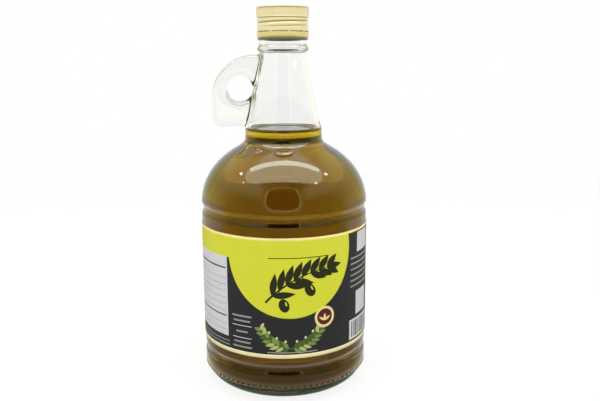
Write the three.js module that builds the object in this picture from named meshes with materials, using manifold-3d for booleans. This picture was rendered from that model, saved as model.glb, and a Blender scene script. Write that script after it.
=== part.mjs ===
// Olive oil bottle: a clear glass jug with a finger ring at its neck, filled with oil,
// closed by a rolled-on aluminium screw cap and wrapped in a paper label.
// Millimetres, +Z up. The origin is on the bottle's axis, on the surface that it stands on.
// The ring lies in the plane of the axis, towards -X, and the label's front faces -Y.

import * as THREE from 'three';
import { mergeVertices } from 'three/addons/utils/BufferGeometryUtils.js';
import Module from 'manifold-3d';

const wasm = await Module();
wasm.setup();

// The outside of the glass
const segments = 40; // sides of every turned surface
const bodyRadius = 59; // the straight body, under the label
const heelRadius = 16.5; // rounding between the base and the body
const bearingWidth = 4; // flat ring that the bottle stands on
const pushUp = 3.5; // hollow under the base
const lowerGrooveZ = 25;
const upperGrooveZ = 127.2;
const grooveHalfWidth = 5;
const grooveDepth = 1.6;
const shoulderZ = 130.2; // where the body starts to close
const shoulderHeight = 47; // of the whole ellipse that the shoulder follows
const shoulderEndRadius = 33.2; // where the shoulder turns up into the neck
const collarRadius = 27.1; // the upright foot of the neck
const collarBendZ = 172.3; // where the shoulder's and the collar's lines would meet
const collarBottom = 175.6;
const collarTop = 180.5;
const easeZ = 184.5; // half way from the collar into the even taper
const easeRadius = 26.15;
const neckStartZ = 188.5;
const neckStartRadius = 24.9;
const neckEndZ = 234;
const neckEndRadius = 16;
const beadRadius = 17.8;
const beadRounding = 2;
const beadWidestZ = 236.6;
const beadTop = 240.3;
const finishRadius = 16.3; // the plain mouth under the cap
const mouthZ = 263;

// The inside of the glass
const bodyWall = 2.8;
const neckWall = 2.5;
const baseGlass = 8; // over the bearing ring
const innerHeelRadius = 14;
const innerGrooveDepth = 1;
const boreRadius = 12.7;

// The finger ring, a flat loop with rounded edges
const ringLeft = -50.1;
const ringTop = 232.6;
const ringBottom = 183.2;
const ringBigCorner = 30.2;
const ringSmallCorner = 6;
const ringThickness = 13;
const ringEdge = 4;
const holeX = -30.2;
const holeZ = 209.6;
const holeRadius = 8.9;

// The oil and the label
const oilLevel = 180.4;
const oilGap = 0.2;
const labelBottom = 33.8;
const labelTop = 116.5;
const labelGap = 0.12;
const labelThickness = 0.2;

// The cap
const capBottom = 242.4;
const capTop = 264.2;
const capWall = 0.8;
const threadCrest = 17.6; // outer radius between the turns of the thread
const threadDepth = 0.45;
const threadPitch = 3.2;
const threadTurns = 2;
const bandRadius = 18; // over the tamper band and the knurled rim
const bandEdge = 1.3; // height of the tucked-in lower edge
const slitZ = 248; // cut between the cap and its tamper band
const slitHeight = 0.5;
const bridges = 9;
const bridgeAngle = 4;
const firstBridge = -77;
const knurlBottom = 257;
const knurlTop = 263.2;
const knurls = 84;
const knurlDepth = 0.35;
const shellRadius = threadCrest - threadDepth; // of the cap's plain shell
const capInside = shellRadius - capWall;

function point(x, y) {
  return new THREE.Vector2(x, y);
}

// Points along an ellipse's arc, both ends included.
function arc(x, z, radiusX, radiusZ, from, to, steps) {
  const points = [];
  for (let i = 0; i <= steps; i++) {
    const angle = THREE.MathUtils.degToRad(from + ((to - from) * i) / steps);
    points.push(point(x + radiusX * Math.cos(angle), z + radiusZ * Math.sin(angle)));
  }
  return points;
}

// Points up a soft round groove in a wall of the given radius.
function groove(radius, z, depth, steps) {
  const points = [];
  for (let i = 0; i <= steps; i++) {
    const along = (2 * i) / steps - 1;
    const dip = (depth * (1 + Math.cos(Math.PI * along))) / 2;
    points.push(point(radius - dip, z + grooveHalfWidth * along));
  }
  return points;
}

// Points over the shoulder and round the bend into the collar, for the outside or the inside.
function shoulderAndCollar(radius, height, endRadius, collar, steps) {
  const endAngle = THREE.MathUtils.radToDeg(Math.acos(endRadius / radius));
  const shoulder = arc(0, shoulderZ, radius, height, endAngle / steps, endAngle, steps - 1);
  const bend = new THREE.QuadraticBezierCurve(
    shoulder.pop(),
    point(collar, collarBendZ),
    point(collar, collarBottom),
  );
  return [...shoulder, ...bend.getPoints(5)];
}

// Points from the top of the collar up the tapered neck, drawn in by a wall.
function neck(wall) {
  return [
    point(collarRadius - wall, collarTop),
    point(easeRadius - wall, easeZ),
    point(neckStartRadius - wall, neckStartZ),
    point(neckEndRadius - wall, neckEndZ),
  ];
}

// A turned geometry about +Z.
function turned(profile) {
  const geometry = new THREE.LatheGeometry(profile, segments);
  geometry.rotateX(Math.PI / 2);
  return geometry;
}

// A closed geometry as a solid that can be joined and cut.
function toSolid(geometry) {
  geometry.deleteAttribute('normal');
  geometry.deleteAttribute('uv');
  const merged = mergeVertices(geometry, 1e-4);
  const index = merged.index.array;
  const triangles = [];
  for (let i = 0; i < index.length; i += 3) {
    const [a, b, c] = [index[i], index[i + 1], index[i + 2]];
    if (a !== b && b !== c && c !== a) triangles.push(a, b, c);
  }
  return new wasm.Manifold(new wasm.Mesh({
    numProp: 3,
    vertProperties: new Float32Array(merged.attributes.position.array),
    triVerts: new Uint32Array(triangles),
  }));
}

function toGeometry(solid) {
  const mesh = solid.getMesh();
  const geometry = new THREE.BufferGeometry();
  geometry.setAttribute('position', new THREE.BufferAttribute(mesh.vertProperties, 3));
  geometry.setIndex(new THREE.BufferAttribute(mesh.triVerts, 1));
  return geometry;
}

function piece(name, geometry, color, roughness, metalness) {
  geometry.computeVertexNormals();
  const material = new THREE.MeshStandardMaterial({ color, roughness, metalness });
  const mesh = new THREE.Mesh(geometry, material);
  mesh.name = name;
  return mesh;
}

// The outside of the bottle, from the middle of its base up to the mouth.
function outsideProfile() {
  const bearingRadius = bodyRadius - heelRadius;
  return [
    ...arc(0, 0, bearingRadius - bearingWidth, pushUp, 90, 0, 4),
    ...arc(bearingRadius, heelRadius, heelRadius, heelRadius, -90, 0, 6),
    ...groove(bodyRadius, lowerGrooveZ, grooveDepth, 6),
    ...groove(bodyRadius, upperGrooveZ, grooveDepth, 6),
    ...shoulderAndCollar(bodyRadius, shoulderHeight, shoulderEndRadius, collarRadius, 10),
    ...neck(0),
    ...arc(beadRadius - beadRounding, beadWidestZ, beadRounding, beadWidestZ - neckEndZ, -60, 40, 4),
    point(finishRadius, beadTop),
    point(finishRadius, mouthZ),
    point(0, mouthZ),
  ];
}

// The inside of the glass up to a height, drawn in by a gap, closed on the axis.
function insideProfile(gap, top) {
  const radius = bodyRadius - bodyWall - gap;
  const floor = baseGlass + gap;
  const floorRadius = radius - innerHeelRadius;
  const collar = collarRadius - neckWall - gap;
  const points = [
    ...arc(0, floor, floorRadius, pushUp, 90, 0, 3).slice(0, -1),
    ...arc(floorRadius, floor + innerHeelRadius, innerHeelRadius, innerHeelRadius, -90, 0, 5).slice(0, -1),
    ...groove(radius, lowerGrooveZ, innerGrooveDepth, 4).slice(1),
    ...groove(radius, upperGrooveZ, innerGrooveDepth, 4),
    ...shoulderAndCollar(radius, shoulderHeight - bodyWall - gap, shoulderEndRadius - bodyWall, collar, 8),
  ];
  if (top > neckEndZ) {
    points.push(...neck(neckWall), point(boreRadius, beadTop), point(boreRadius, top));
  } else {
    points.push(point(collar, top));
  }
  points.push(point(0, top));
  return points;
}

// The loop of glass that a finger goes through, an outline in the XZ plane with thickness along Y.
function fingerRing() {
  const big = ringBigCorner;
  const small = ringSmallCorner;
  const outline = new THREE.Shape([
    point(0, ringTop),
    ...arc(ringLeft + big, ringTop - big, big, big, 90, 180, 9),
    ...arc(ringLeft + small, ringBottom + small, small, small, 180, 270, 4),
    point(0, ringBottom),
  ]);
  outline.holes.push(new THREE.Path(arc(holeX, holeZ, holeRadius, holeRadius, 360, 20, 17)));
  const geometry = new THREE.ExtrudeGeometry(outline, {
    depth: ringThickness - 2 * ringEdge,
    bevelThickness: ringEdge,
    bevelSize: ringEdge,
    bevelOffset: -ringEdge,
    bevelSegments: 3,
  });
  geometry.translate(0, 0, ringEdge - ringThickness / 2);
  geometry.rotateX(Math.PI / 2);
  return geometry;
}

function bottle() {
  const outside = toSolid(turned(outsideProfile()));
  const inside = toSolid(turned(insideProfile(0, mouthZ + 1)));
  return toGeometry(outside.add(toSolid(fingerRing())).subtract(inside));
}

// The label, a thin paper sleeve round the straight body.
function label() {
  const inner = bodyRadius + labelGap;
  const outer = inner + labelThickness;
  return turned([
    point(inner, labelBottom),
    point(outer, labelBottom),
    point(outer, labelTop),
    point(inner, labelTop),
    point(inner, labelBottom),
  ]);
}

// The cap's shell: the tamper band, the rolled thread, the strip behind the knurls, the flat top.
function capShell() {
  const points = [
    point(capInside, capBottom),
    point(shellRadius, capBottom),
    point(bandRadius - 0.1, capBottom + bandEdge),
    point(bandRadius, capBottom + 2 * bandEdge),
    point(bandRadius - 0.1, slitZ - slitHeight),
    point(threadCrest, slitZ + slitHeight),
  ];
  for (let turn = threadTurns; turn > 0; turn--) {
    const z = knurlBottom - threadPitch * turn - threadPitch / 4;
    points.push(point(threadCrest, z));
    points.push(point(shellRadius, z + threadPitch * 0.3));
    points.push(point(shellRadius, z + threadPitch * 0.45));
    points.push(point(threadCrest, z + threadPitch * 0.75));
  }
  points.push(
    point(shellRadius, knurlBottom - slitHeight),
    point(shellRadius, knurlTop),
    ...arc(shellRadius - 1, knurlTop, 1, capTop - knurlTop, 30, 90, 2),
    point(0, capTop),
    point(0, capTop - capWall),
    point(capInside, capTop - capWall),
    point(capInside, capBottom),
  );
  return turned(points);
}

// The rim's ribs, a toothed ring round the top of the cap.
function knurlRing() {
  const teeth = [];
  for (let i = 0; i < 2 * knurls; i++) {
    const radius = bandRadius - (i % 2) * knurlDepth;
    const angle = (Math.PI * i) / knurls;
    teeth.push(point(radius * Math.cos(angle), radius * Math.sin(angle)));
  }
  const shape = new THREE.Shape(teeth);
  const hole = shellRadius - capWall / 2;
  shape.holes.push(new THREE.Path(arc(0, 0, hole, hole, 360, 360 / segments, segments - 1)));
  const geometry = new THREE.ExtrudeGeometry(shape, { depth: knurlTop - knurlBottom, bevelEnabled: false });
  geometry.translate(0, 0, knurlBottom);
  return geometry;
}

// One of the cuts between two bridges of the tamper band.
function slit(from, to) {
  const outer = bandRadius + 1;
  const inner = capInside - 1;
  const shape = new THREE.Shape([...arc(0, 0, outer, outer, from, to, 4), ...arc(0, 0, inner, inner, to, from, 4)]);
  const geometry = new THREE.ExtrudeGeometry(shape, { depth: slitHeight, bevelEnabled: false });
  geometry.translate(0, 0, slitZ - slitHeight / 2);
  return geometry;
}

function cap() {
  let solid = toSolid(capShell()).add(toSolid(knurlRing()));
  const pitch = 360 / bridges;
  for (let i = 0; i < bridges; i++) {
    const from = firstBridge + pitch * i + bridgeAngle / 2;
    solid = solid.subtract(toSolid(slit(from, from + pitch - bridgeAngle)));
  }
  return toGeometry(solid);
}

const oliveOilBottle = new THREE.Group();
oliveOilBottle.add(
  piece('glass_bottle', bottle(), 0xdfe6de, 0.05, 0),
  piece('oil', turned(insideProfile(oilGap, oilLevel)), 0x6e5110, 0.05, 0),
  piece('label', label(), 0x2d2d32, 0.45, 0),
  piece('cap', cap(), 0xddcf95, 0.3, 1),
);

export default oliveOilBottle;
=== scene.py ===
# Olive oil bottle: a clear glass jug with a finger ring, its oil, its gold screw cap and its
# paper label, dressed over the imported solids. Sizes in the dictionaries are millimetres.
import math
import random

import bmesh
import bpy
from mathutils import Matrix, Vector, geometry, kdtree


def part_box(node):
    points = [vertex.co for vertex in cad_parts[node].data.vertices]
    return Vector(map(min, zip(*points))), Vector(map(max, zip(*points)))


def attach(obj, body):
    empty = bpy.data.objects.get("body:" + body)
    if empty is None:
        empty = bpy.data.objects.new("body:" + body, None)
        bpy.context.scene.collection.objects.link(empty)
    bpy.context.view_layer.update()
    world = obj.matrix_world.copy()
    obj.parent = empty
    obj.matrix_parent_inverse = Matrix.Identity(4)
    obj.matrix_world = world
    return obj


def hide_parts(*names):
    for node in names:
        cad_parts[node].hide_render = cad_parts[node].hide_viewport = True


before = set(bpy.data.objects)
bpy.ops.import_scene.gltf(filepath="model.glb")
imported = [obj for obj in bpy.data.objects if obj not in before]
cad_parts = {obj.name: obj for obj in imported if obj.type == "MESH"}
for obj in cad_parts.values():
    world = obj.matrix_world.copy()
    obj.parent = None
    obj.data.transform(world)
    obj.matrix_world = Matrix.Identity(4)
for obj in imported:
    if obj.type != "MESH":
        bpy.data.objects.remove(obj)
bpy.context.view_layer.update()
mm = 0.001
scene = bpy.context.scene

glassLow, glassHigh = [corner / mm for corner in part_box("glass_bottle")]
oilLow, oilHigh = [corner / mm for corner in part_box("oil")]
labelLow, labelHigh = [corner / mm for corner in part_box("label")]
capLow, capHigh = [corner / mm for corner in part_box("cap")]
print("frame loaded, body radius", round(glassHigh.x, 2), "mm, height", round(capHigh.z, 2), "mm")


# Camera, placed from the label's curved edges in the photograph
cameraPlace = {
    "distance": 490.8,  # from the bottle's axis
    "height": 229.8,
    "lookDown": 11.57,  # degrees
    "lookRight": 1.34,
    "roll": -0.21,
    "focalPixels": 692.7,  # for an image 600 pixels wide
    "imageWidth": 600,
}


def placeCamera():
    data = bpy.data.cameras.new("photoCamera")
    data.lens = cameraPlace["focalPixels"] / cameraPlace["imageWidth"] * data.sensor_width
    data.clip_start = 0.01
    camera = bpy.data.objects.new("photoCamera", data)
    scene.collection.objects.link(camera)
    turn = Matrix.Rotation(math.radians(-cameraPlace["lookRight"]), 4, "Z")
    tilt = Matrix.Rotation(math.radians(90 - cameraPlace["lookDown"]), 4, "X")
    roll = Matrix.Rotation(math.radians(cameraPlace["roll"]), 4, "Z")
    place = Vector((0, -cameraPlace["distance"], cameraPlace["height"])) * mm
    camera.matrix_world = Matrix.Translation(place) @ turn @ tilt @ roll
    scene.camera = camera


placeCamera()
print("camera placed")


# Materials
def hexToLinear(code):
    levels = [int(code[i:i + 2], 16) / 255 for i in (1, 3, 5)]
    return [v / 12.92 if v <= 0.04045 else ((v + 0.055) / 1.055) ** 2.4 for v in levels] + [1.0]


def addNode(tree, kind, inputs=None, **settings):  # a socket among the inputs is linked, a value is set
    node = tree.nodes.new(kind)
    for name, value in settings.items():
        setattr(node, name, value)
    for socket, value in (inputs or {}).items():
        if isinstance(value, bpy.types.NodeSocket):
            tree.links.new(value, node.inputs[socket])
        elif isinstance(value, tuple):  # a light's red, green and blue
            node.inputs[socket].default_value = value + (1.0,)
        else:
            node.inputs[socket].default_value = value
    return node


def newMaterial(name):
    material = bpy.data.materials.new(name)
    material.use_nodes = True
    material.node_tree.nodes.clear()
    return material, material.node_tree


def perMetre(size):  # noise scale that gives features of this many millimetres
    return 1 / (size * mm)


def fineRelief(tree, size, detail, height):  # an uneven pattern in the piece's own space, and its bump
    place = addNode(tree, "ShaderNodeTexCoord")
    pattern = addNode(
        tree, "ShaderNodeTexNoise",
        {"Vector": place.outputs["Object"], "Scale": perMetre(size), "Detail": detail},
    )
    bump = addNode(
        tree, "ShaderNodeBump",
        {"Height": pattern.outputs["Fac"], "Strength": 1.0, "Distance": height * mm},
    )
    return pattern.outputs["Fac"], bump.outputs["Normal"]


glassLook = {
    "tint": "#FDFDFE",
    "ior": 1.52,
    "roughness": 0.0,
    "absorb": "#DCE8D6",  # what thick glass leaves of white light
    "density": 20.0,
    "rippleSize": 22,
    "rippleHeight": 0.03,
}


def mouldedFlintGlass():  # clear, faintly green in thick places, with the slow ripple of a mould
    material, tree = newMaterial("mouldedFlintGlass")
    _, bump = fineRelief(tree, glassLook["rippleSize"], 1.0, glassLook["rippleHeight"])
    shader = addNode(
        tree, "ShaderNodeBsdfPrincipled",
        {
            "Base Color": hexToLinear(glassLook["tint"]),
            "Transmission Weight": 1.0,
            "IOR": glassLook["ior"],
            "Roughness": glassLook["roughness"],
            "Normal": bump,
        },
    )
    finishClear(tree, shader, glassLook)
    return material


def finishClear(tree, dry, look):  # where another clear piece touches, light bends but nothing glints
    touch = addNode(tree, "ShaderNodeAttribute", attribute_name="touched")
    wet = addNode(
        tree, "ShaderNodeBsdfRefraction",
        {"Color": hexToLinear("#FFFFFF"), "IOR": look["ior"], "Roughness": 0.0},
    )
    surface = addNode(
        tree, "ShaderNodeMixShader",
        {0: touch.outputs["Fac"], 1: dry.outputs["BSDF"], 2: wet.outputs["BSDF"]},
    )
    inside = addNode(
        tree, "ShaderNodeVolumeAbsorption",
        {"Color": hexToLinear(look["absorb"]), "Density": look["density"]},
    )
    if "haze" in look:
        haze = addNode(
            tree, "ShaderNodeVolumeScatter",
            {
                "Color": hexToLinear("#FFFFFF"),
                "Density": look["haze"],
                "Anisotropy": look["hazeForward"],
            },
        )
        inside = addNode(tree, "ShaderNodeAddShader", {0: inside.outputs[0], 1: haze.outputs[0]})
    addNode(
        tree, "ShaderNodeOutputMaterial",
        {"Surface": surface.outputs["Shader"], "Volume": inside.outputs[0]},
    )


def markTouched(piece, isTouched):
    marks = piece.data.attributes.new("touched", "FLOAT", "FACE")
    touched = [float(isTouched(face.center / mm, face.normal)) for face in piece.data.polygons]
    marks.data.foreach_set("value", touched)


oilLook = {
    "ior": 1.47,
    "absorb": "#F8F063",
    "density": 120.0,
    "haze": 5.0,  # scattering a metre
    "hazeForward": 0.7,
}


def oliveOil():  # slightly cloudy liquid, yellow where thin and brown where deep
    material, tree = newMaterial("oliveOil")
    shader = addNode(
        tree, "ShaderNodeBsdfPrincipled",
        {
            "Base Color": hexToLinear("#FFFFFF"),
            "Transmission Weight": 1.0,
            "IOR": oilLook["ior"],
            "Roughness": 0.0,
        },
    )
    finishClear(tree, shader, oilLook)
    return material


goldLook = {
    "side": ("#EFE6BA", "#E6DAA2"),  # two shades that the grain mixes
    "band": ("#EADC98", "#DCCB7C"),
    # painted shade: the bare inside is given dark greys for the shade within the cap
    "inside": ("#4A473C", "#3C3A32"),
    # painted shade: the rolled-under edge is given a darker grey for the shade under it
    "edge": ("#B5B096", "#A5A088"),
    "roughness": 0.3,
    "grainSize": 1.2,  # coarser than the real grain, so that it shows
    "grainHeight": 0.02,
}


def lacqueredGoldAluminium(part):  # satin metal under a thin gold lacquer, bare inside; the inside and the rolled-under edge are given dark greys as painted shade
    material, tree = newMaterial("lacqueredGoldAluminium_" + part)
    grain, bump = fineRelief(tree, goldLook["grainSize"], 3.0, goldLook["grainHeight"])
    colour = addNode(
        tree, "ShaderNodeMix",
        {0: grain, 6: hexToLinear(goldLook[part][0]), 7: hexToLinear(goldLook[part][1])},
        data_type="RGBA",
    )
    shader = addNode(
        tree, "ShaderNodeBsdfPrincipled",
        {
            "Base Color": colour.outputs[2],
            "Metallic": 1.0,
            "Roughness": goldLook["roughness"],
            "Normal": bump,
        },
    )
    addNode(tree, "ShaderNodeOutputMaterial", {"Surface": shader.outputs["BSDF"]})
    return material


paperLook = {
    "fibreSize": 0.9,  # coarser than real fibres, so that they show
    "fibreHeight": 0.015,
    "shadeShift": 0.06,  # how far the fibres lighten and darken an ink
    "roughness": 0.42,
    "ior": 1.5,
    "gloss": 0.3,
}


def printedPaper(name, ink, passed):  # satin coated paper, an even ink a little broken up by the fibres
    material, tree = newMaterial(name)
    fibre, bump = fineRelief(tree, paperLook["fibreSize"], 4.0, paperLook["fibreHeight"])
    shift = paperLook["shadeShift"]
    shade = addNode(
        tree, "ShaderNodeMapRange",
        {"Value": fibre, "To Min": 1 - shift, "To Max": 1 + shift},
    )
    colour = addNode(
        tree, "ShaderNodeHueSaturation",
        {"Color": hexToLinear(ink), "Value": shade.outputs["Result"]},
    )
    shader = addNode(
        tree, "ShaderNodeBsdfPrincipled",
        {
            "Base Color": colour.outputs["Color"],
            "Roughness": paperLook["roughness"],
            "IOR": paperLook["ior"],
            "Specular IOR Level": paperLook["gloss"],
            "Normal": bump,
        },
    )
    through = addNode(  # thin paper lets light through where no dark ink stops it
        tree, "ShaderNodeBsdfTranslucent",
        {"Color": colour.outputs["Color"]},
    )
    surface = addNode(
        tree, "ShaderNodeMixShader",
        {0: passed, 1: shader.outputs["BSDF"], 2: through.outputs["BSDF"]},
    )
    addNode(tree, "ShaderNodeOutputMaterial", {"Surface": surface.outputs["Shader"]})
    return material


# Shared ways of making a shape
def smoothStep(low, high, value):
    t = min(max((value - low) / (high - low), 0), 1)
    return t * t * (3 - 2 * t)


def arcPoints(centre, radii, start, end, steps):
    points = []
    for i in range(steps + 1):
        angle = math.radians(start + (end - start) * i / steps)
        points.append((centre[0] + radii[0] * math.cos(angle), centre[1] + radii[1] * math.sin(angle)))
    return points


def bendPoints(start, middle, end, steps):
    points = []
    for i in range(steps + 1):
        t = i / steps
        weights = ((1 - t) ** 2, 2 * t * (1 - t), t * t)
        points.append(tuple(sum(w * p[k] for w, p in zip(weights, (start, middle, end))) for k in (0, 1)))
    return points


def newPiece(name, shape, materials):
    mesh = bpy.data.meshes.new(name)
    shape.to_mesh(mesh)
    shape.free()
    mesh.polygons.foreach_set("use_smooth", [True] * len(mesh.polygons))
    piece = bpy.data.objects.new(name, mesh)
    scene.collection.objects.link(piece)
    for material in materials:
        mesh.materials.append(material)
    return piece


def finalMesh(piece):  # the piece's mesh with its modifiers worked in
    graph = bpy.context.evaluated_depsgraph_get()
    mesh = bpy.data.meshes.new_from_object(piece.evaluated_get(graph))
    piece.modifiers.clear()
    piece.data = mesh


def cutOrJoin(piece, other, operation):
    modifier = piece.modifiers.new(operation, "BOOLEAN")
    modifier.operation = operation
    modifier.solver = "MANIFOLD"
    modifier.object = other
    finalMesh(piece)
    bpy.data.objects.remove(other)


def giveThickness(piece, thickness, backFinish, rimFinish=0):  # finishes are counted on from the front's
    sheet = piece.modifiers.new("sheet", "SOLIDIFY")
    sheet.thickness = thickness * mm
    sheet.offset = -1
    sheet.material_offset = backFinish
    sheet.material_offset_rim = rimFinish
    finalMesh(piece)


def roundAxis(angle, radius, height):  # angles count from the front, to the right
    out = radius * mm
    return out * math.sin(angle), -out * math.cos(angle), height * mm


def turnRow(shape, radius, height, count, relief=None):
    if radius < 1e-6:
        return [shape.verts.new((0, 0, height * mm))]
    row = []
    for i in range(count):
        angle = 2 * math.pi * i / count
        row.append(shape.verts.new(roundAxis(angle, radius + (relief(angle) if relief else 0), height)))
    return row


def joinRows(shape, lower, upper):  # quads, a fan at the axis, or a step to a row with more columns
    few, many = sorted((lower, upper), key=len)
    ratio = len(many) // len(few)
    for i in range(len(few) if len(few) > 1 else len(many)):
        if len(few) == 1:
            shape.faces.new((few[0], many[i], many[(i + 1) % len(many)]))
            continue
        outer = [many[(i * ratio + k) % len(many)] for k in range(ratio, -1, -1)]
        shape.faces.new([few[i], few[(i + 1) % len(few)]] + outer)


def turnProfile(profile, sides, addRow=None):
    shape = bmesh.new()
    rows = [(addRow or turnRow)(shape, radius, height, sides) for radius, height in profile]
    for lower, upper in zip(rows, rows[1:]):
        joinRows(shape, lower, upper)
    bmesh.ops.recalc_face_normals(shape, faces=shape.faces)
    return shape


# Glass bottle
bottleForm = {
    "sides": 168,
    "heelRadius": 16.5,
    "stipples": 84,  # small bumps in a row round the heel
    "stippleHeight": 11.8,
    "stippleReach": 1.1,
    "stippleLift": 0.9,
    "bearingWidth": 4,
    "pushUp": 3.5,
    "lowerGroove": 25,
    "upperGroove": 127.2,
    "grooveHalfWidth": 4.5,
    "grooveFloor": 0.15,  # share of the width that is level
    "grooveDepth": 1.2,
    "grooveGap": 0.4,  # kept free between the groove and the dome's first row
    "shoulderStart": 130.2,
    "shoulderHeight": 47,
    "shoulderEndRadius": 33.2,
    "collarRadius": 27.1,
    "collarBend": 172.3,
    "collarBottom": 175.6,
    "collarStep": 1.8,
    "collarTop": 180.5,
    "neckStart": 188.5,
    "neckStartRadius": 24.9,
    "neckEnd": 234,
    "neckEndRadius": 16,
    "beadRadius": 17.8,
    "beadRounding": 2,
    "beadWidest": 236.6,
    "beadTop": 240.3,
    "beadFoot": (-0.2, 1),  # where the neck's end bends out to the bead
    "finishBend": (-0.6, 1),  # the bead eases into the finish from below to above its top
    "finishRadius": 16.3,
    "lipRounding": 1.5,
    "bodyWall": 2.8,
    "neckWall": 2.5,
    "baseGlass": 8,
    "innerHeelRadius": 14,
    "floorBand": 6,  # up to here above the base's glass, what the oil touches faces up
    "innerGrooveDepth": 0.75,
    "boreRadius": 12.7,
    "mouthBevel": 1,
}
bodyRadius = glassHigh.x
neckTaper = (bottleForm["neckStartRadius"] - bottleForm["neckEndRadius"]) / (
    bottleForm["neckEnd"] - bottleForm["neckStart"]
)


def wallRadius(height, radius, domeHeight):  # straight body, then the ellipse of the dome
    rise = max(0, height - bottleForm["shoulderStart"]) / domeHeight
    return radius * math.sqrt(1 - rise * rise)


def groovePoints(radius, domeHeight, height, depth, steps):
    points = []
    for i in range(steps + 1):
        along = 2 * i / steps - 1
        dip = depth * (1 - smoothStep(bottleForm["grooveFloor"], 1, abs(along)))
        place = height + bottleForm["grooveHalfWidth"] * along
        points.append((wallRadius(place, radius, domeHeight) - dip, place))
    return points


def shoulderPoints(radius, height, endRadius, wall, steps):  # the dome, its bend and the upright collar
    form = bottleForm
    endAngle = math.degrees(math.acos(endRadius / radius))
    middle = (0, form["shoulderStart"])
    shoulder = arcPoints(middle, (radius, height), endAngle / steps, endAngle, steps - 1)
    collar = form["collarRadius"] - wall
    grooveTop = form["upperGroove"] + form["grooveHalfWidth"] + form["grooveGap"]
    points = [point for point in shoulder[:-1] if point[1] > grooveTop]
    points += bendPoints(shoulder[-1], (collar, form["collarBend"]), (collar, form["collarBottom"]), 14)
    points += [(collar, form["collarBottom"] + form["collarStep"] * i) for i in (1, 2)]
    return points


def neckRadius(height, wall):  # above the collar the neck eases into its even taper
    form = bottleForm
    low, high = form["collarTop"], form["neckStart"]
    if height <= low:
        return form["collarRadius"] - wall
    if height >= high:
        return form["neckStartRadius"] - neckTaper * (height - high) - wall
    t = (height - low) / (high - low)
    ease = smoothStep(low, high, height)
    slope = -neckTaper * (high - low) * t * t * (t - 1)
    return form["collarRadius"] + (form["neckStartRadius"] - form["collarRadius"]) * ease + slope - wall


def outsidePoints():
    form = bottleForm
    bearing = bodyRadius - form["heelRadius"]
    rounding = form["beadRounding"]
    lip = form["lipRounding"]
    points = arcPoints((0, 0), (bearing - form["bearingWidth"], form["pushUp"]), 90, 0, 16)
    points += arcPoints((bearing, form["heelRadius"]), (form["heelRadius"],) * 2, -90, 0, 48)
    for height in (form["lowerGroove"], form["upperGroove"]):
        points += groovePoints(bodyRadius, form["shoulderHeight"], height, form["grooveDepth"], 30)
    points += shoulderPoints(bodyRadius, form["shoulderHeight"], form["shoulderEndRadius"], 0, 36)
    for i in range(32):  # the neck's rows, close enough for the ring to join
        height = form["collarTop"] + (form["neckEnd"] - form["collarTop"]) * i / 32
        points.append((neckRadius(height, 0), height))
    neckTop = (form["neckEndRadius"], form["neckEnd"])
    bead = arcPoints(
        (form["beadRadius"] - rounding, form["beadWidest"]), (rounding, rounding), -50, 60, 12
    )
    foot = (neckTop[0] + form["beadFoot"][0], neckTop[1] + form["beadFoot"][1])
    below, above = [(form["finishRadius"], form["beadTop"] + step) for step in form["finishBend"]]
    points += bendPoints(neckTop, foot, bead[0], 4)
    points += bead[1:-1]
    points += bendPoints(bead[-1], below, above, 5)
    points += arcPoints((form["finishRadius"] - lip, glassHigh.z - lip), (lip, lip), 0, 90, 6)
    return points


def insidePoints(grow=0.0):  # from the middle of the base up to the neck, drawn out by grow
    form = bottleForm
    radius = bodyRadius - form["bodyWall"] + grow
    floor = form["baseGlass"] - grow
    floorRadius = radius - form["innerHeelRadius"]
    points = arcPoints((0, floor), (floorRadius, form["pushUp"]), 90, 0, 12)[:-1]
    points += arcPoints(
        (floorRadius, floor + form["innerHeelRadius"]), (form["innerHeelRadius"],) * 2, -90, 0, 20
    )[:-1]
    domeHeight = form["shoulderHeight"] - form["bodyWall"] + grow
    points += groovePoints(radius, domeHeight, form["lowerGroove"], form["innerGrooveDepth"], 24)[4:]
    points += groovePoints(radius, domeHeight, form["upperGroove"], form["innerGrooveDepth"], 24)
    points += shoulderPoints(
        radius,
        domeHeight,
        form["shoulderEndRadius"] - form["bodyWall"] + grow,
        form["neckWall"] - grow,
        30,
    )
    return points


ringForm = {
    "left": -50.1,
    "top": 232.6,
    "bottom": 183.2,
    "bigCorner": 30.2,
    "smallCorner": 6,
    "thickness": 13,
    "edge": 4,
    "holeX": -30.2,
    "holeZ": 209.6,
    "holeRadius": 8.9,
    "inNeck": -9,  # how far the slab reaches into the neck before it is trimmed
    "setIn": 1.2,  # how deep its trimmed end sits in the neck's wall
    "roundSteps": 8,
    "coreAbove": 20,  # how far the trimming core stands above the neck
    "fillEvery": (2.6, 2.4),  # points inside the flat faces, across and up
    "fillCount": (14, 18),
    "fillLeft": 5.4,  # where they start
    "fillRim": 5.2,  # how far they stay from the rim and from the hole
    "seamReach": 3.2,  # glass within this of the seam flows together
    "seamRounds": 14,
    "seamPull": 0.5,  # at the seam, how far a round draws a point to the middle of its neighbours
    "seamMerge": 0.25,
}


def ringOutline(inset):
    form = ringForm
    big = form["bigCorner"] - inset
    small = form["smallCorner"] - inset
    left, top, bottom = form["left"] + inset, form["top"] - inset, form["bottom"] + inset
    points = []
    for i in range(12):
        points.append((form["inNeck"] + (left + big - form["inNeck"]) * i / 12, top))
    points += arcPoints((left + big, top - big), (big, big), 90, 180, 40)
    points += arcPoints((left + small, bottom + small), (small, small), 180, 270, 12)
    for i in range(1, 37):
        points.append((left + small + (form["inNeck"] - left - small) * i / 36, bottom))
    for i in range(1, 40):
        points.append((form["inNeck"], bottom + (top - bottom) * i / 40))
    return points


def ringHole(inset):
    radius = ringForm["holeRadius"] + inset
    return arcPoints((ringForm["holeX"], ringForm["holeZ"]), (radius, radius), 0, 355, 71)


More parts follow.
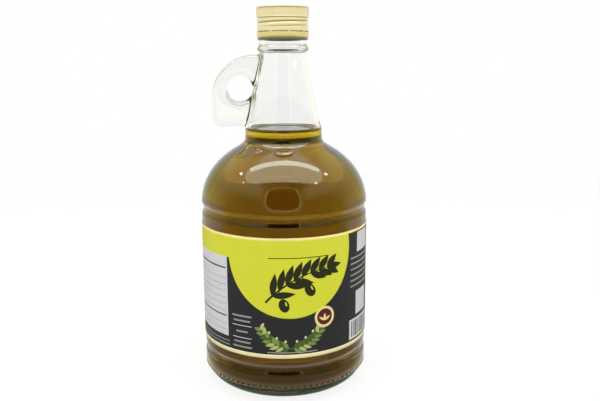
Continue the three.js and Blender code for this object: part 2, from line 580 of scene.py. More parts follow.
def ringFill():  # staggered points inside a flat face, so that the seam has something to bend
    form = ringForm
    rim = form["fillRim"]
    across, up = form["fillEvery"]
    left, bottom, top, big = form["left"], form["bottom"], form["top"], form["bigCorner"]
    points = []
    for column in range(form["fillCount"][0]):
        for row in range(form["fillCount"][1]):
            x = left + form["fillLeft"] + across * column + across / 2 * (row % 2)
            z = bottom + rim + up * row
            corner = Vector((x - left - big, z - top + big))
            inCorner = corner.x > 0 or corner.y < 0 or corner.length < big - rim
            fromHole = math.hypot(x - form["holeX"], z - form["holeZ"])
            clear = fromHole > form["holeRadius"] + rim and z < top - rim
            if x < form["inNeck"] - 1 and inCorner and clear:
                points.append(Vector((x, z)) * mm)
    return points


def fingerRing():
    form = ringForm
    shape = bmesh.new()
    steps = form["roundSteps"]
    half = form["thickness"] / 2
    sections = []
    for i in range(2 * steps + 2):  # round the edge from the front face to the back face
        side = -1 if i <= steps else 1
        turn = (i if i <= steps else i - 1) / (2 * steps) * math.pi
        inset = form["edge"] * (1 - math.sin(turn))
        sections.append((inset, side * (half - form["edge"]) - form["edge"] * math.cos(turn)))
    faces = []
    for outline in (ringOutline, ringHole):
        rows = []
        for inset, depth in sections:
            rows.append([shape.verts.new((x * mm, depth * mm, z * mm)) for x, z in outline(inset)])
        for lower, upper in zip(rows, rows[1:]):
            joinRows(shape, lower, upper)
        faces.append((rows[0], rows[-1]))
    for side in (0, 1):  # the flat faces
        outer, hole = faces[0][side], faces[1][side]
        places = [Vector((v.co.x, v.co.z)) for v in outer + hole]
        count = len(outer)
        edges = [(i, (i + 1) % count) for i in range(count)]
        edges += [(count + i, count + (i + 1) % len(hole)) for i in range(len(hole))]
        depth = outer[0].co.y
        places += ringFill()
        made = geometry.delaunay_2d_cdt(places, edges, [], 1, 1e-7)
        known = outer + hole
        corners = []
        for place, source in zip(made[0], made[3]):
            match = [k for k in source if k < len(known)]
            corners.append(known[match[0]] if match else shape.verts.new((place.x, depth, place.y)))
        for face in made[2]:
            middle = sum((corners[k].co for k in face), Vector()) / len(face)
            away = math.hypot(middle.x / mm - form["holeX"], middle.z / mm - form["holeZ"])
            if away > form["holeRadius"] + form["edge"] + 0.1:
                shape.faces.new([corners[k] for k in face])
    bmesh.ops.recalc_face_normals(shape, faces=shape.faces)
    return shape


def neckCore():  # what the ring's end is trimmed with, so that it stays inside the neck's wall
    form = bottleForm
    low, high = form["collarBottom"], form["neckEnd"] + ringForm["coreAbove"]
    points = [(0, low)]
    for i in range(61):
        height = low + (high - low) * i / 60
        points.append((neckRadius(height, ringForm["setIn"]), height))
    points.append((0, high))
    return turnProfile(points, form["sides"])


def softenSeam(piece, before):  # lets the glass flow together where the ring meets the neck
    tree = kdtree.KDTree(len(before))
    for i, place in enumerate(before):
        tree.insert(place, i)
    tree.balance()
    shape = bmesh.new()
    shape.from_mesh(piece.data)
    seam = [v for v in shape.verts if tree.find(v.co)[2] > 1e-6]
    near = kdtree.KDTree(len(seam))
    for i, vert in enumerate(seam):
        near.insert(vert.co, i)
    near.balance()
    reach = ringForm["seamReach"] * mm
    region = [v for v in shape.verts if near.find(v.co)[2] < reach]
    bmesh.ops.remove_doubles(shape, verts=region, dist=ringForm["seamMerge"] * mm)
    region = [v for v in shape.verts if near.find(v.co)[2] < reach]
    around = list({f for v in region for f in v.link_faces})
    bmesh.ops.triangulate(shape, faces=around)
    for _ in range(ringForm["seamRounds"]):
        moves = []
        for vert in region:
            depth = near.find(vert.co)[2] / reach
            others = [e.other_vert(vert).co for e in vert.link_edges]
            middle = sum(others, Vector()) / len(others)
            moves.append((vert, vert.co.lerp(middle, ringForm["seamPull"] * max(0.0, 1 - depth))))
        for vert, place in moves:
            vert.co = place
    shape.to_mesh(piece.data)
    shape.free()
    print("ring joined, seam softened at", len(seam), "points")


def isWetted(place, normal):  # faces of the inner wall and floor that the oil touches
    fromAxis = math.hypot(place.x, place.y)
    if place.z > oilHigh.z or fromAxis > bodyRadius - bottleForm["bodyWall"] / 2:
        return False
    if place.z < bottleForm["baseGlass"] + bottleForm["floorBand"]:
        return normal.z > 0 and place.z > bottleForm["pushUp"] + 1
    return normal.x * place.x + normal.y * place.y < 0


def stippledRow(shape, radius, height, sides):  # finer rows, with bumps, where the heel is stippled
    form = bottleForm
    near = 1 - ((height - form["stippleHeight"]) / form["stippleReach"]) ** 2
    if near <= 0 or radius < bodyRadius - form["bodyWall"]:
        return turnRow(shape, radius, height, sides)
    return turnRow(
        shape, radius, height, 4 * sides,
        lambda angle: form["stippleLift"] * near * (0.5 + 0.5 * math.cos(form["stipples"] * angle)) ** 2,
    )


def glassBottle():
    form = bottleForm
    inside = insidePoints()
    for i in range(17):
        height = form["collarTop"] + (form["neckEnd"] - form["collarTop"]) * i / 16
        inside.append((neckRadius(height, form["neckWall"]), height))
    bevel = form["mouthBevel"]
    inside.append((form["boreRadius"], form["beadTop"]))
    inside.append((form["boreRadius"], glassHigh.z - bevel))
    profile = outsidePoints() + [(form["boreRadius"] + bevel, glassHigh.z)] + inside[::-1]
    shape = turnProfile(profile, form["sides"], stippledRow)
    bottle = newPiece("glassBottle", shape, [mouldedFlintGlass()])
    ring = newPiece("ringBlank", fingerRing(), [])
    core = newPiece("neckCore", neckCore(), [])
    cutOrJoin(ring, core, "DIFFERENCE")
    before = [v.co.copy() for v in bottle.data.vertices] + [v.co.copy() for v in ring.data.vertices]
    cutOrJoin(bottle, ring, "UNION")
    softenSeam(bottle, before)
    bottle.data.polygons.foreach_set("use_smooth", [True] * len(bottle.data.polygons))
    markTouched(bottle, isWetted)
    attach(bottle, "root")
    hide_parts("glass_bottle")
    print("glass bottle:", len(bottle.data.polygons), "faces")


glassBottle()


# Olive oil, which reaches just into the wall so that no air shows between
oilForm = {
    "intoWall": 0.3,
    "meniscusHeight": 2.0,
    "meniscusWidth": 4.0,
    "meniscusFall": 3.2,  # how fast it drops away from the glass
    "meniscusSteps": 10,
    "rimGap": 0.3,  # the wall's last row is at least this far below the surface
    "surfaceBand": 0.5,  # above this depth, what faces up is open to the air
    "surfaceTilt": 0.3,
}


def oilFilling():
    grow = oilForm["intoWall"]
    level = oilHigh.z
    points = [point for point in insidePoints(grow) if point[1] < level - oilForm["rimGap"]]
    rim = neckRadius(level, bottleForm["neckWall"] - grow)
    top = level + oilForm["meniscusHeight"]
    points += [(rim, level), (neckRadius(top, bottleForm["neckWall"] - grow), top)]
    for i in range(oilForm["meniscusSteps"]):  # the surface creeps up the glass
        share = (i + 1) / oilForm["meniscusSteps"]
        rise = oilForm["meniscusHeight"] * math.exp(-oilForm["meniscusFall"] * share)
        points.append((rim - grow - oilForm["meniscusWidth"] * share, level + rise))
    points.append((0, level))
    oil = newPiece("oliveOilFilling", turnProfile(points, bottleForm["sides"]), [oliveOil()])
    surface, tilt = level - oilForm["surfaceBand"], oilForm["surfaceTilt"]
    markTouched(oil, lambda place, normal: place.z < surface or normal.z < tilt)
    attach(oil, "root")
    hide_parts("oil")
    print("oil filled to", round(level, 1), "mm")


oilFilling()


# Screw cap
capForm = {
    "columnsPerRib": 5,
    "ribs": 84,
    "ribDepth": 0.45,
    "ribBottom": 257.4,
    "ribRise": 0.7,  # the ribs come up over this height
    "ribFade": 1.5,  # and run out this far below the top
    "sheet": 0.4,
    "bandRadius": 17.95,
    "tuckHeight": 3.6,
    "tuckDepth": 1.0,
    "slit": 248,
    "slitHeight": 0.5,
    "bridges": 9,
    "bridgeAngle": 4,
    "firstBridge": 13,
    "threadRadius": 17.75,
    "threadDepth": 0.4,
    "threadPitch": 3.0,
    "threadStart": 248.0,
    "threadTurns": 2.2,
    "threadRuns": (1.3, 0.2),  # turns in which it deepens and runs out
    "swell": (0.2, 1.2),  # how far the sheet draws in above the cut, and over what height
    "ribLine": (0.45, 0.5, 0.4),  # the rolled line under the ribs: depth, drop, half width
    "rimRounding": 0.6,
    "topRecess": 0.25,
    "recessBend": (2.4, 2.9, 3.4),  # from the edge, where the top dips to its flat middle
    "flatRadius": 8,
    "topRise": 0.5,
    "paintedShadeEdge": 1.7,  # height of the rolled-under edge, given a darker grey as painted shade
}
capTop = capHigh.z + capForm["topRise"]


def capRelief(height, angle):  # how far the sheet stands out from the band's radius
    form = capForm
    if height < form["slit"] + form["slitHeight"]:
        tuck = max(0, 1 - (height - capLow.z) / form["tuckHeight"])
        return form["tuckDepth"] * (math.sqrt(1 - tuck ** 2) - 1)
    if height < form["ribBottom"]:
        around = (angle / (2 * math.pi) + 0.5) % 1  # from the back, where the thread starts
        turns = (height - form["threadStart"]) / form["threadPitch"] - around
        along = math.floor(turns) + around
        start, end = form["threadRuns"]
        deep = smoothStep(0, start, along)
        deep *= 1 - smoothStep(form["threadTurns"] - end, form["threadTurns"], along)
        thread = form["threadDepth"] * deep * (0.5 - 0.5 * math.cos(2 * math.pi * turns)) ** 2
        lineDepth, drop, half = form["ribLine"]
        line = lineDepth * math.exp(-((height - form["ribBottom"] + drop) / half) ** 2)
        drawIn, over = form["swell"]
        drawn = drawIn * (1 - smoothStep(form["slit"], form["slit"] + over, height))
        return form["threadRadius"] - form["bandRadius"] - thread - line - drawn
    rib = 0.5 - 0.5 * math.cos(form["ribs"] * angle)
    fade = smoothStep(form["ribBottom"], form["ribBottom"] + form["ribRise"], height)
    fade *= 1 - smoothStep(capTop - form["ribFade"], capTop - form["rimRounding"], height)
    return -form["ribDepth"] * rib * fade


def capRows():
    form = capForm
    cut = (form["slit"] - form["slitHeight"] / 2, form["slit"] + form["slitHeight"] / 2)
    ribsFull = form["ribBottom"] + form["ribRise"] + 0.1
    spans = [  # from, to, rows
        (capLow.z, capLow.z + form["tuckHeight"], 12),
        (capLow.z + form["tuckHeight"], cut[0], 8),
        (cut[0], cut[1], 1),
        (cut[1], form["ribBottom"], 40),
        (form["ribBottom"], ribsFull, 4),
        (ribsFull, capTop - form["ribFade"], 3),
        (capTop - form["ribFade"], capTop - form["rimRounding"], 4),
    ]
    rows = [capLow.z]
    for low, high, steps in spans:
        rows += [low + (high - low) * (i + 1) / steps for i in range(steps)]
    return rows, cut


def screwCap():
    form = capForm
    columns = form["columnsPerRib"] * form["ribs"]
    shape = bmesh.new()
    rows, cut = capRows()
    edge = form["bandRadius"]
    rings = []
    for height in rows:
        rings.append(turnRow(shape, edge, height, columns, lambda angle: capRelief(height, angle)))
    rounding = form["rimRounding"]
    top = arcPoints((edge - rounding, capTop - rounding), (rounding, rounding), 0, 90, 7)[1:]
    start, middle, end = [edge - step for step in form["recessBend"]]
    flat = capTop - form["topRecess"]
    top += bendPoints((start, capTop), (middle, capTop), (end, flat), 4)
    top += [(form["flatRadius"], flat), (0, flat)]
    rings += [turnRow(shape, radius, height, columns) for radius, height in top]
    pitch = 360 / form["bridges"]
    for index, (lower, upper) in enumerate(zip(rings, rings[1:])):
        if len(upper) == 1 or abs(lower[0].co.z / mm - cut[0]) > 1e-3 or index > len(rows):
            joinRows(shape, lower, upper)
            continue
        for i in range(columns):
            degrees = (360 * (i + 0.5) / columns - form["firstBridge"] + pitch / 2) % pitch - pitch / 2
            if abs(degrees) < form["bridgeAngle"] / 2:
                k = (i + 1) % columns
                shape.faces.new((lower[i], lower[k], upper[k], upper[i]))
    bmesh.ops.recalc_face_normals(shape, faces=shape.faces)
    finishes = [lacqueredGoldAluminium(part) for part in ("side", "band", "edge", "inside")]
    cap = newPiece("screwCap", shape, finishes)
    for face in cap.data.polygons:
        height = face.center.z / mm
        # the lowest strip takes the darker edge finish, painted shade under the tuck
        face.material_index = int(height < form["slit"]) + int(height < capLow.z + form["paintedShadeEdge"])
    giveThickness(cap, form["sheet"], len(finishes) - 1)  # every inner face takes the last finish, the dark inside of painted shade
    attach(cap, "root")
    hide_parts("cap")
    print("cap:", len(cap.data.polygons), "faces")


screwCap()


# Paper label. Along the sheet, 0 is the front of the bottle and right is positive;
# up is from its lower edge.
labelForm = {
    "thickness": 0.2,
    "overlap": 7,
    "seam": 95,  # where the sheet's ends meet, at the bottle's right side
    "lapRise": 2,  # the upper end climbs onto the lower one over this length
    "columnEvery": 3,  # degrees
    "inks": {  # colour, and the share of light that passes
        "black": ("#232228", 0.0),
        "lime": ("#CED033", 0.1),
        "cream": ("#E2D08E", 0.1),
        # painted light: a lighter copy of the cream for the lower stripe, as lit more from below
        "creamPaintedLight": ("#FBEFBE", 0.1),
        "white": ("#E2E0EA", 0.3),
        "grey": ("#8E8D8F", 0.0),
        "burgundy": ("#541017", 0.0),
        "leafDark": ("#3F5A2A", 0.0),
        "leafMid": ("#6F8543", 0.0),
        "leafPale": ("#A5AD6A", 0.0),
        "sprig": ("#22230A", 0.0),
        "rear": ("#F8F6F0", 0.7),
        "paper": ("#F8F6F0", 0.7),
    },
    "stripeTop": 1.8,
    "stripeBottom": 2.7,
    "discCentre": (4.2, 72.7),
    "discRadius": 44.6,
    "headerBottom": 67,
    "headerLeft": -96,
    "rearStart": 104,  # a plain light band round the back
    "rearBottom": 60,
    "panel": (-92, 11, -42, 67),  # left, bottom, right, top
    "panelRules": ((58.5, 1.0), (24.8, 0.9)),  # height and thickness
    "panelLines": (  # lowest, spacing, number, thickness, how far they end past the panel's right
        (28.5, 4.6, 6, 0.3, -1.5),
        (15, 4.4, 2, 0.3, -1.5),
        (4.6, 2.6, 2, 0.7, 1),
    ),
    "barsMiddle": -30.5,
    "bars": ((27, 15), (23.6, 13), (16, 9), (8.6, 13), (5.2, 15)),  # height and length
    "barThickness": 1.2,
    "barRules": (20.6, 12),
    "barRuleLength": 15,
    "blocks": ((59, 66, 79, 80), (58, 21, 76, 38), (50, 4, 80, 18.5)),
    "footBar": (-12, 3.8, 22, 4.5),
    "sideLines": (51, 88, 42, 4, 6, 1.1),  # left, right, lowest, spacing, number, thickness
    "uprightBars": (52.5, 5.5, 77, 17),
    "uprightWidths": (0.5, 0.8, 1.2),
    "uprightGaps": (0.6, 0.9, 1.3),
    "roundel": (27.5, 27.1),
    "roundelRadius": 7.4,
    "roundelField": 0.76,  # share of the radius inside its rim
    "roundelLeaf": (-2.6, 5.2, 1.7),  # foot below the middle, length, width
    "roundelAngles": (35, 90, 145),
    "sprigRule": (-11, 69, 30, 69.6),
    "sprigPath": ((-13, 39), (4, 58), (29, 61.5)),
    "sprigStem": 1.5,
    "sprigLeaf": (16, 0.7, 4.8, 38),  # longest, how much shorter each next one is, width, spread
    "sprigTip": (12, 4.4, 4),  # length, width, angle
    "olives": ((6, -72), (15, -60)),  # step along the stem and angle
    "oliveStalk": (7, 0.8),
    "oliveDrop": 4,  # from the stalk's end to the olive's middle
    "oliveSize": (9.5, 7),
    "oliveGlint": ((1.3, 1.2), (3.2, 1.1)),  # place on the olive and size
    "wreathFoot": (4, 7),
    "wreathReach": ((14, 1), (21, 14)),  # the bend and the end of a spray, from the foot
    "wreathStem": 0.9,
    "wreathLeaf": (7.2, 0.12, 0.6, 2.6, 42),  # longest, loss for each step, unevenness, width, spread
    "wreathBud": ((1.2, 4.2), (1.9, 1.4), 70),  # place beside the stem, size, angle
}


def bar(left, bottom, right, top):
    return [(left, bottom), (right, bottom), (right, top), (left, top)]


def disc(centre, radius, steps=72):
    return arcPoints(centre, (radius, radius), 0, 360 - 360 / steps, steps - 1)


def oval(centre, length, width, angle, steps=28):
    turn = Matrix.Rotation(math.radians(angle), 2)
    points = []
    for x, y in arcPoints((0, 0), (length / 2, width / 2), 0, 360 - 360 / steps, steps - 1):
        point = turn @ Vector((x, y))
        points.append((centre[0] + point.x, centre[1] + point.y))
    return points


def leaf(base, length, width, angle, steps=10):  # slim and pointed, as olive leaves are
    turn = Matrix.Rotation(math.radians(angle), 2)
    edge = []
    for i in range(steps + 1):
        t = i / steps
        edge.append((length * t, width / 2 * math.sin(math.pi * t ** 0.85)))
    points = edge + [(x, -y) for x, y in edge[-2:0:-1]]
    placed = [turn @ Vector(p) for p in points]
    return [(base[0] + p.x, base[1] + p.y) for p in placed]


def stem(path, width):
    left, right = [], []
    for i, place in enumerate(path):
        ahead = Vector(path[min(i + 1, len(path) - 1)]) - Vector(path[max(i - 1, 0)])
        side = Vector((-ahead.y, ahead.x)).normalized() * width / 2 * (1 - 0.6 * i / len(path))
        left.append((place[0] + side.x, place[1] + side.y))
        right.append((place[0] - side.x, place[1] - side.y))
    return left + right[::-1]


def labelShapes(width, height):
    form = labelForm
    top = height - form["stripeTop"]
    start, end = form["seam"] - width, form["seam"] + form["overlap"]
    shapes = [("black", bar(start, 0, end, height))]
    shapes.append(("lime", bar(form["headerLeft"], form["headerBottom"], form["discCentre"][0] - 30, top)))
    shapes.append(("lime", disc(form["discCentre"], form["discRadius"], 120)))
    shapes.append(("cream", bar(start, top, end, height + 10)))
    # the lower stripe takes the lighter cream of painted light
    shapes.append(("creamPaintedLight", bar(start, 0, end, form["stripeBottom"])))
    rear = form["rearStart"]
    shapes.append(("rear", bar(rear - width, form["rearBottom"], -rear, height + 10)))
    return shapes + panelShapes() + sprigShapes() + wreathShapes() + sealShapes() + sideShapes()


def panelShapes():  # the white panel with its ruled lines
    left, bottom, right, top = labelForm["panel"]
    shapes = [("white", bar(left, bottom, right, top))]
    for height, thick in labelForm["panelRules"]:
        shapes.append(("black", bar(left + 2, height, right - 1.5, height + thick)))
    for lowest, every, count, thick, reach in labelForm["panelLines"]:
        for i in range(count):
            height = lowest + every * i
            shapes.append(("grey", bar(left + 2, height, right + reach, height + thick)))
    return shapes


def headingAt(path, index):  # degrees
    ahead = Vector(path[min(index + 1, len(path) - 1)]) - Vector(path[index - 1])
    return math.degrees(math.atan2(ahead.y, ahead.x))


def sprigShapes():  # a dark olive sprig under a thin rule
    form = labelForm
    shapes = [("sprig", bar(*form["sprigRule"]))]
    path = bendPoints(*form["sprigPath"], 24)
    shapes.append(("sprig", stem(path, form["sprigStem"])))
    longest, loss, width, spread = form["sprigLeaf"]
    hung = [index for index, _ in form["olives"]]
    for i, index in enumerate(range(3, 25, 3)):
        for side in (1, -1):
            if side == 1 or index not in hung:  # an olive takes the place of the lower leaf
                angle = headingAt(path, index) + side * spread
                shapes.append(("sprig", leaf(path[index], longest - loss * i, width, angle)))
    shapes.append(("sprig", leaf(path[24], *form["sprigTip"])))
    stalk, stalkWidth = form["oliveStalk"]
    glintPlace, glintSize = form["oliveGlint"]
    for index, angle in form["olives"]:
        hang = Vector((math.cos(math.radians(angle)), math.sin(math.radians(angle))))
        end = Vector(path[index]) + hang * stalk
        middle = end + hang * form["oliveDrop"]
        shapes.append(("sprig", stem([path[index], end], stalkWidth)))
        shapes.append(("sprig", oval(middle, *form["oliveSize"], angle)))
        shapes.append(("lime", oval(middle + Vector(glintPlace), *glintSize, angle)))
    return shapes


def wreathShapes():  # two low sprays of small leaves that open from the middle
    form = labelForm
    shapes = []
    draw = random.Random(4)
    inks = ("leafDark", "leafMid", "leafPale")
    x, y = form["wreathFoot"]
    longest, loss, uneven, width, spread = form["wreathLeaf"]
    (budAside, budUp), budSize, budAngle = form["wreathBud"]
    for side in (1, -1):
        middle, end = [(x + side * out, y + up) for out, up in form["wreathReach"]]
        path = bendPoints((x, y), middle, end, 16)
        shapes.append(("leafDark", stem(path, form["wreathStem"])))
        for index in range(1, 17, 2):
            for turn in (spread, -spread):
                size = longest - loss * index + draw.uniform(-uneven, uneven)
                ink = inks[draw.randrange(3)]
                shapes.append((ink, leaf(path[index], size, width, headingAt(path, index) + turn)))
        for index in range(3, 16, 4):
            place = (path[index][0] - side * budAside, path[index][1] + budUp)
            shapes.append(("cream", oval(place, *budSize, budAngle)))
    return shapes


def sealShapes():  # the plain round seal
    form = labelForm
    centre, radius = form["roundel"], form["roundelRadius"]
    shapes = [("cream", disc(centre, radius)), ("burgundy", disc(centre, radius * form["roundelField"]))]
    foot, length, width = form["roundelLeaf"]
    for angle in form["roundelAngles"]:
        shapes.append(("cream", leaf((centre[0], centre[1] + foot), length, width, angle)))
    return shapes


def sideShapes():  # short plain bars left and right of the front, and blocks at the right
    form = labelForm
    shapes = []
    middle = form["barsMiddle"]
    half = form["barRuleLength"] / 2
    for height in form["barRules"]:
        shapes.append(("white", bar(middle - half, height, middle + half, height + 0.5)))
    for height, length in form["bars"]:
        top = height + form["barThickness"]
        shapes.append(("grey", bar(middle - length / 2, height, middle + length / 2, top)))
    shapes.append(("grey", bar(*form["footBar"])))
    left, right, lowest, every, count, thick = form["sideLines"]
    for i in range(count):
        height = lowest + every * i
        shapes.append(("grey", bar(left, height, right, height + thick)))
    for block in form["blocks"]:
        shapes.append(("white", bar(*block)))
    draw = random.Random(9)
    place, bottom, right, top = form["uprightBars"]
    while place < right:
        wide = draw.choice(form["uprightWidths"])
        shapes.append(("black", bar(place, bottom, place + wide, top)))
        place += wide + draw.choice(form["uprightGaps"])
    return shapes


def paperLabel():
    form = labelForm
    radius = labelHigh.x
    width = 2 * math.pi * radius
    height = labelHigh.z - labelLow.z
    inks = list(form["inks"])
    places, faces, edges, fills = [], [], [], []
    for ink, outline in labelShapes(width, height):
        start = len(places)
        twice = sum(a[0] * b[1] - b[0] * a[1] for a, b in zip(outline, outline[1:] + outline[:1]))
        if twice < 0:
            outline = outline[::-1]
        places += [Vector((x, min(max(y, 0), height))) for x, y in outline]
        faces.append(list(range(start, len(places))))
        fills.append(inks.index(ink))
    step = math.radians(form["columnEvery"]) * radius
    column = form["seam"] - width + step
    while column < form["seam"] + form["overlap"] - 0.5:
        edges.append((len(places), len(places) + 1))
        places += [Vector((column, 0)), Vector((column, height))]
        column += step
    made = geometry.delaunay_2d_cdt(places, edges, faces, 1, 1e-5)
    shape = bmesh.new()
    corners = []
    for place in made[0]:
        lift = form["thickness"] * smoothStep(form["seam"] - form["lapRise"], form["seam"], place.x)
        corner = roundAxis(place.x / radius, radius + lift, labelLow.z + place.y)
        corners.append(shape.verts.new(corner))
    for face, sources in zip(made[2], made[5]):
        if sources:
            printed = shape.faces.new([corners[k] for k in face])
            printed.material_index = fills[max(sources)]  # a later shape prints over an earlier one
    bmesh.ops.recalc_face_normals(shape, faces=shape.faces)
    materials = [printedPaper("printedPaper_" + ink, *look) for ink, look in form["inks"].items()]
    label = newPiece("paperLabel", shape, materials)
    giveThickness(label, form["thickness"], len(inks), len(inks))  # bare paper behind and at the edges
    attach(label, "root")
    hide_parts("label")
    print("label:", len(label.data.polygons), "faces")


paperLabel()


# Studio: a white light tent with a lit ceiling, and the dark opening in its front that the
# camera looks through
studio = {
    "floorSize": (3000, 2600),
    "floorPlace": (0, -400, 0),
    "floorColour": "#BCBCBC",
    "floorGlow": 0.8,  # share of plain white that the camera sees in the floor
    "floorWhite": (1.08, 1.08, 1.08),
    "floorSatin": (0.4, 0.37, 0.3),  # how satin metal and paper mirror it
    "throughPaintedShadow": (0.03, 0.03, 0.03),  # the floor as seen through the oil, close by and further off; dark close by as a painted shadow of the bottle
    "throughFar": (0.72, 0.72, 0.7),
    "throughRange": (100, 135),
    "mirroredFloor": (  # how the glass mirrors the floor, by distance from the axis
        (60, (0.3, 0.42, 0.3)),
        (62, (2.3, 2.2, 1.7)),
        (65, (2.3, 2.2, 1.7)),
        (68, (1.75, 1.34, 0.8)),
        (78, (1.75, 1.34, 0.8)),
        (90, (1.2, 0.8, 0.34)),
        (126, (1.2, 0.8, 0.34)),
        (145, (0.26, 0.38, 0.27)),
        (260, (0.26, 0.38, 0.27)),
        (400, (0.8, 0.6, 0.12)),
    ),
    "mirroredBehind": (0.95, 0.92, 0.86),  # the floor beside and behind, at the bottle's outline
    "behindRange": (-30, 30),
    "backLight": (1.0, 1.0, 1.0),
    "frontLight": (1.1, 1.1, 1.1),
    "frontRange": (-0.25, 0.1),  # directions here and below are parts of a unit vector
    "mirroredFront": (0.85, 0.66, 0.1),
    "mirroredWalls": (  # what the glass mirrors further round, and the directions where it takes over
        ((1.6, 1.28, 0.42), {"Y": (-0.35, 0.2)}),  # sides
        ((2.0, 1.8, 0.85), {"aside": (0.3, 0.6), "Z": (0.25, 0.65)}),  # high up at both sides
        ((2.7, 2.7, 2.5), {"Z": (0.84, 0.97)}),  # overhead
        ((1.0, 1.0, 1.0), {"Y": (0.68, 0.92)}),  # back
    ),
    "ceilingHeight": 850,
    "cardGap": 4,  # the strips hang this far below the ceiling, the lamps twice as far
    "ceilingLight": (3.95, 4.05, 3.0),
    "ceilingSatin": (1.9, 1.85, 1.75),  # how satin metal and paper mirror it
    "ceilingOutline": (  # its right half, from the back
        (0, 55), (400, 45), (540, 20), (640, -100),
        (715, -300), (560, -460), (330, -500), (0, -520),
    ),
    "stripLight": (9.3, 10.2, 8.6),
    "stripBox": (-470, -62, 500, 52),
    "seamLight": (5.0, 4.7, 4.0),
    "seamBox": (-420, -370, 180, -305),
    "lampLight": (15.0, 14.0, 12.5),
    "lamps": ((-664, 46, 40), (-790, -240, 34), (667, 3, 46), (625, -390, 40)),  # place and radius
    "paintedRings": (  # rings of painted shade and painted light that show only through the glass: name, radius, bottom, top, light
        ("paintedBaseShade", 82, 0.5, 64, (0.02, 0.015, 0.01)),  # painted shade, dark behind the base
        ("paintedShoulderGlow", 75, 127.5, 142, (0.72, 0.93, 1.0)),  # painted light, cool behind the upper groove
    ),
    "openingSize": (735, 840),
    "openingCorner": 240,
    "openingPlace": (-35, -900, 580),
    "openingSteps": (  # name, width beyond the opening, light
        ("tentOpening", 0, (0.14, 0.1, 0.03)),
        ("openingRim", 45, (2.3, 1.8, 0.85)),
        ("openingEdge", 115, (1.4, 1.05, 0.3)),
    ),
}


def placedCard(name, material, outline, place, turn=Matrix.Identity(4)):
    shape = bmesh.new()
    matrix = Matrix.Translation(Vector(place) * mm) @ turn
    corners = [shape.verts.new(matrix @ Vector((x * mm, y * mm, 0))) for x, y in outline]
    shape.faces.new(corners)
    card = newPiece(name, shape, [material])
    return card


def easeInto(tree, colour, light, *ramps):  # the colour turns into the light where every ramp is past
    amount = 1.0
    for value, low, high in ramps:
        ramp = addNode(
            tree, "ShaderNodeMapRange",
            {"Value": value, "From Min": low, "From Max": high},
            interpolation_type="SMOOTHSTEP",
        )
        amount = addNode(
            tree, "ShaderNodeMath",
            {0: amount, 1: ramp.outputs["Result"]},
            operation="MULTIPLY",
        ).outputs["Value"]
    return addNode(tree, "ShaderNodeMix", {0: amount, 6: colour, 7: light}, data_type="RGBA").outputs[2]


def glassRays(tree, way):  # 1 for rays that smooth glass has mirrored or let through
    path = addNode(tree, "ShaderNodeLightPath").outputs
    return addNode(
        tree, "ShaderNodeMath",
        {0: path["Is Singular Ray"], 1: path[way]},
        operation="MULTIPLY",
    ).outputs["Value"]


def whiteFloor():  # white board to the camera, but each kind of ray is given its own light from it
    material, tree = newMaterial("whiteBoardFloor")
    path = addNode(tree, "ShaderNodeLightPath").outputs
    camera = addNode(
        tree, "ShaderNodeMath",
        {0: path["Is Camera Ray"], 1: studio["floorGlow"]},
        operation="MULTIPLY",
    )
    place = addNode(tree, "ShaderNodeTexCoord").outputs["Object"]
    along = addNode(tree, "ShaderNodeSeparateXYZ", {"Vector": place}).outputs
    fromAxis = addNode(tree, "ShaderNodeVectorMath", {0: place}, operation="LENGTH").outputs["Value"]
    stops = studio["mirroredFloor"]
    mirrored = stops[0][1]
    for (start, _), (end, light) in zip(stops, stops[1:]):
        mirrored = easeInto(tree, mirrored, light, (fromAxis, start * mm, end * mm))
    start, end = studio["behindRange"]
    mirrored = easeInto(tree, mirrored, studio["mirroredBehind"], (along["Y"], start * mm, end * mm))
    # dark close to the bottle: painted shadow of the bottle, seen through the oil
    start, end = studio["throughRange"]
    through = easeInto(
        tree, studio["throughPaintedShadow"], studio["throughFar"], (fromAxis, start * mm, end * mm)
    )
    board = addNode(tree, "ShaderNodeBsdfDiffuse", {"Color": hexToLinear(studio["floorColour"])})
    surface = board.outputs["BSDF"]
    for rays, light in (
        (camera.outputs["Value"], studio["floorWhite"]),
        (path["Is Glossy Ray"], studio["floorSatin"]),
        (glassRays(tree, "Is Reflection Ray"), mirrored),
        (glassRays(tree, "Is Transmission Ray"), through),
    ):
        glow = addNode(tree, "ShaderNodeEmission", {"Color": light})
        surface = addNode(tree, "ShaderNodeMixShader", {0: rays, 1: surface, 2: glow.outputs[0]}).outputs[0]
    addNode(tree, "ShaderNodeOutputMaterial", {"Surface": surface})
    wide, deep = studio["floorSize"]
    placedCard("floor", material, bar(-wide / 2, -deep / 2, wide / 2, deep / 2), studio["floorPlace"])


def tentOpening():  # dark, with a lit edge; satin surfaces blur it away, so only smooth glass mirrors it
    upright = Matrix.Rotation(math.pi / 2, 4, "X")
    for name, grow, light in studio["openingSteps"]:
        material, tree = newMaterial(name)
        mirrored = glassRays(tree, "Is Reflection Ray")
        clear = addNode(tree, "ShaderNodeBsdfTransparent")
        glow = addNode(tree, "ShaderNodeEmission", {"Color": light})
        shader = addNode(
            tree, "ShaderNodeMixShader",
            {0: mirrored, 1: clear.outputs[0], 2: glow.outputs[0]},
        )
        addNode(tree, "ShaderNodeOutputMaterial", {"Surface": shader.outputs[0]})
        corner = studio["openingCorner"] + grow
        wide, tall = [side / 2 + grow - corner for side in studio["openingSize"]]
        outline = []
        for x, y, start in ((wide, tall, 0), (-wide, tall, 90), (-wide, -tall, 180), (wide, -tall, 270)):
            outline += arcPoints((x, y), (corner, corner), start, start + 90, 8)
        place = Vector(studio["openingPlace"]) - Vector((0, grow / 10, 0))  # wider ones stand further off
        placedCard(name, material, outline, place, upright).visible_camera = False


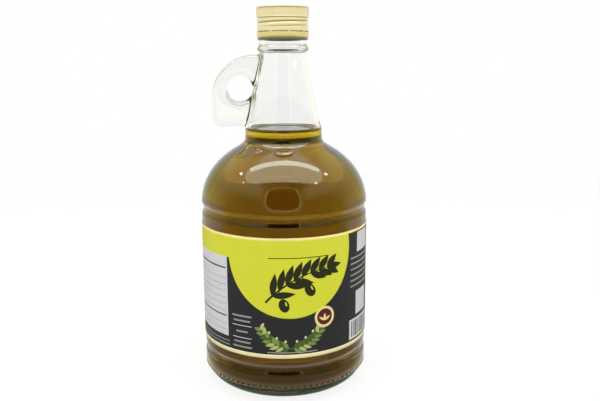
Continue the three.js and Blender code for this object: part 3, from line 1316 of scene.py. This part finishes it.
# painted shade and painted light: glowing rings that only the glass shows
def makePaintedRings():
    for name, radius, bottom, top, light in studio["paintedRings"]:
        shape = bmesh.new()
        joinRows(shape, *[turnRow(shape, radius, height, 96) for height in (bottom, top)])
        material, tree = newMaterial(name)
        glow = addNode(tree, "ShaderNodeEmission", {"Color": light})
        addNode(tree, "ShaderNodeOutputMaterial", {"Surface": glow.outputs[0]})
        ringPiece = newPiece(name, shape, [material])
        ringPiece.visible_camera = False
        ringPiece.visible_diffuse = False
        ringPiece.visible_glossy = False
        ringPiece.visible_shadow = False


def tentWalls():  # white all round, but glass mirrors dim front walls, brighter sides and a white back
    world = bpy.data.worlds.new("tentWalls")
    scene.world = world
    world.use_nodes = True
    tree = world.node_tree
    tree.nodes.clear()
    place = addNode(tree, "ShaderNodeTexCoord").outputs["Generated"]
    along = addNode(tree, "ShaderNodeSeparateXYZ", {"Vector": place}).outputs
    aside = addNode(tree, "ShaderNodeMath", {0: along["X"]}, operation="ABSOLUTE").outputs["Value"]
    towards = {"Y": along["Y"], "Z": along["Z"], "aside": aside}
    mirrored = studio["mirroredFront"]
    for light, ranges in studio["mirroredWalls"]:
        mirrored = easeInto(tree, mirrored, light, *[(towards[way], *ranges[way]) for way in ranges])
    colour = easeInto(tree, studio["frontLight"], studio["backLight"], (along["Y"], *studio["frontRange"]))
    path = addNode(tree, "ShaderNodeLightPath").outputs
    for rays, light in (
        (glassRays(tree, "Is Reflection Ray"), mirrored),
        (path["Is Camera Ray"], studio["backLight"]),
    ):
        colour = addNode(tree, "ShaderNodeMix", {0: rays, 6: colour, 7: light}, data_type="RGBA").outputs[2]
    light = addNode(tree, "ShaderNodeBackground", {"Color": colour})
    addNode(tree, "ShaderNodeOutputWorld", {"Surface": light.outputs["Background"]})


def tentCeiling():
    right = list(studio["ceilingOutline"])
    ceiling = right + [(-x, y) for x, y in right[-2:0:-1]]
    gap = studio["cardGap"]
    cards = [("ceiling", studio["ceilingLight"], ceiling, 0)]
    cards.append(("lightStrip", studio["stripLight"], bar(*studio["stripBox"]), gap))
    cards.append(("ceilingSeam", studio["seamLight"], bar(*studio["seamBox"]), gap))
    for i, (x, y, radius) in enumerate(studio["lamps"]):
        cards.append(("lamp" + str(i + 1), studio["lampLight"], disc((x, y), radius, 24), 2 * gap))
    for name, light, outline, drop in cards:
        material, tree = newMaterial(name)
        path = addNode(tree, "ShaderNodeLightPath").outputs
        satin = addNode(
            tree, "ShaderNodeMath",
            {0: path["Is Glossy Ray"], 1: path["Is Singular Ray"]},
            operation="SUBTRACT", use_clamp=True,
        )
        colour = addNode(
            tree, "ShaderNodeMix",
            {0: satin.outputs["Value"], 6: light, 7: studio["ceilingSatin"]},
            data_type="RGBA",
        )
        glow = addNode(tree, "ShaderNodeEmission", {"Color": colour.outputs[2]})
        addNode(tree, "ShaderNodeOutputMaterial", {"Surface": glow.outputs[0]})
        material.cycles.emission_sampling = "NONE"
        card = placedCard(name, material, outline, (0, 0, studio["ceilingHeight"] - drop))
        card.visible_camera = False


whiteFloor()
makePaintedRings()
tentOpening()
tentWalls()
tentCeiling()
scene.view_settings.view_transform = "Standard"
scene.cycles.max_bounces = 24
scene.cycles.transmission_bounces = 20
scene.cycles.glossy_bounces = 8
print("studio lit")
